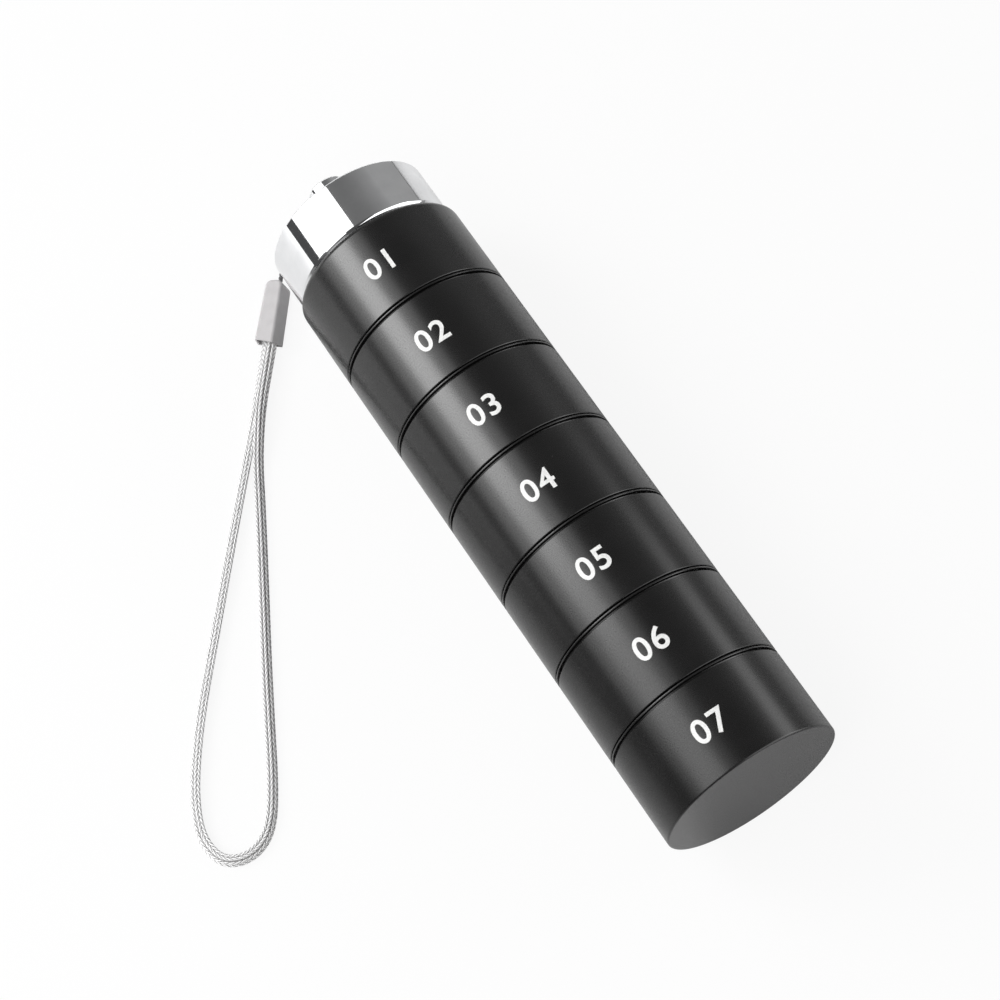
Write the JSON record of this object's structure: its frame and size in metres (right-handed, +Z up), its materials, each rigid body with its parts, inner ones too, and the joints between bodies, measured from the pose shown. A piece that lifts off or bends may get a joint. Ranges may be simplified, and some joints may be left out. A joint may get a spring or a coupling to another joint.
{
  "type": "weekly pill organizer",
  "caption": "Cylindrical stack of black metal pill cups that screw into one another, closed by a chrome screw cap with a lanyard post and a braided wrist strap.",
  "frame": {"origin": "on the table under the middle of the lying stack, without its strap and thread", "axes": "+X along the stack from the cap to the base, +Z up from the table, the strap lies on the -Y side"},
  "size_m": [0.1465, 0.1019, 0.035],
  "materials": {
    "black_cup": "satin black anodised",
    "chrome": "mirror plated",
    "silicone_seal": "matt silicone",
    "steel": "plain steel",
    "thread": "twisted nylon thread",
    "ferrule": "silver grey, satin",
    "strap": "silver braided nylon"
  },
  "bodies": {
    "day_7": {"day_7_cup": "black_cup"},
    "seal_7": {"day_7_seal": "silicone_seal"},
    "day_6": {"day_6_cup": "black_cup"},
    "seal_6": {"day_6_seal": "silicone_seal"},
    "day_5": {"day_5_cup": "black_cup"},
    "seal_5": {"day_5_seal": "silicone_seal"},
    "day_4": {"day_4_cup": "black_cup"},
    "seal_4": {"day_4_seal": "silicone_seal"},
    "day_3": {"day_3_cup": "black_cup"},
    "seal_3": {"day_3_seal": "silicone_seal"},
    "day_2": {"day_2_cup": "black_cup"},
    "seal_2": {"day_2_seal": "silicone_seal"},
    "day_1": {"day_1_cup": "black_cup"},
    "seal_1": {"day_1_seal": "silicone_seal"},
    "cap": {"cap_shell": "chrome", "lanyard_post": "chrome", "post_screw": "steel", "lanyard_thread": "thread", "lanyard_ferrule": "ferrule", "lanyard_strap": "strap"}
  },
  "joints": [
    {"name": "day_6_turn", "type": "hinge", "parent": "day_7", "child": "seal_7", "pos_m": [0, 0, 0.0175], "axis": [-1, 0, 0], "range_deg": [0, 720]},
    {"name": "day_6_lift", "type": "slide", "parent": "seal_7", "child": "day_6", "axis": [-1, 0, 0], "range_m": [0, 0.006]},
    {"name": "day_5_turn", "type": "hinge", "parent": "day_6", "child": "seal_6", "pos_m": [0, 0, 0.0175], "axis": [-1, 0, 0], "range_deg": [0, 720]},
    {"name": "day_5_lift", "type": "slide", "parent": "seal_6", "child": "day_5", "axis": [-1, 0, 0], "range_m": [0, 0.006]},
    {"name": "day_4_turn", "type": "hinge", "parent": "day_5", "child": "seal_5", "pos_m": [0, 0, 0.0175], "axis": [-1, 0, 0], "range_deg": [0, 720]},
    {"name": "day_4_lift", "type": "slide", "parent": "seal_5", "child": "day_4", "axis": [-1, 0, 0], "range_m": [0, 0.006]},
    {"name": "day_3_turn", "type": "hinge", "parent": "day_4", "child": "seal_4", "pos_m": [0, 0, 0.0175], "axis": [-1, 0, 0], "range_deg": [0, 720]},
    {"name": "day_3_lift", "type": "slide", "parent": "seal_4", "child": "day_3", "axis": [-1, 0, 0], "range_m": [0, 0.006]},
    {"name": "day_2_turn", "type": "hinge", "parent": "day_3", "child": "seal_3", "pos_m": [0, 0, 0.0175], "axis": [-1, 0, 0], "range_deg": [0, 720]},
    {"name": "day_2_lift", "type": "slide", "parent": "seal_3", "child": "day_2", "axis": [-1, 0, 0], "range_m": [0, 0.006]},
    {"name": "day_1_turn", "type": "hinge", "parent": "day_2", "child": "seal_2", "pos_m": [0, 0, 0.0175], "axis": [-1, 0, 0], "range_deg": [0, 720]},
    {"name": "day_1_lift", "type": "slide", "parent": "seal_2", "child": "day_1", "axis": [-1, 0, 0], "range_m": [0, 0.006]},
    {"name": "cap_turn", "type": "hinge", "parent": "day_1", "child": "seal_1", "pos_m": [0, 0, 0.0175], "axis": [-1, 0, 0], "range_deg": [0, 720]},
    {"name": "cap_lift", "type": "slide", "parent": "seal_1", "child": "cap", "axis": [-1, 0, 0], "range_m": [0, 0.006]}
  ],
  "couplings": [
    {"joint": "day_6_lift", "follows": "day_6_turn", "m_per_rad": 0.00047746},
    {"joint": "day_5_lift", "follows": "day_5_turn", "m_per_rad": 0.00047746},
    {"joint": "day_4_lift", "follows": "day_4_turn", "m_per_rad": 0.00047746},
    {"joint": "day_3_lift", "follows": "day_3_turn", "m_per_rad": 0.00047746},
    {"joint": "day_2_lift", "follows": "day_2_turn", "m_per_rad": 0.00047746},
    {"joint": "day_1_lift", "follows": "day_1_turn", "m_per_rad": 0.00047746},
    {"joint": "cap_lift", "follows": "cap_turn", "m_per_rad": 0.00047746}
  ]
}
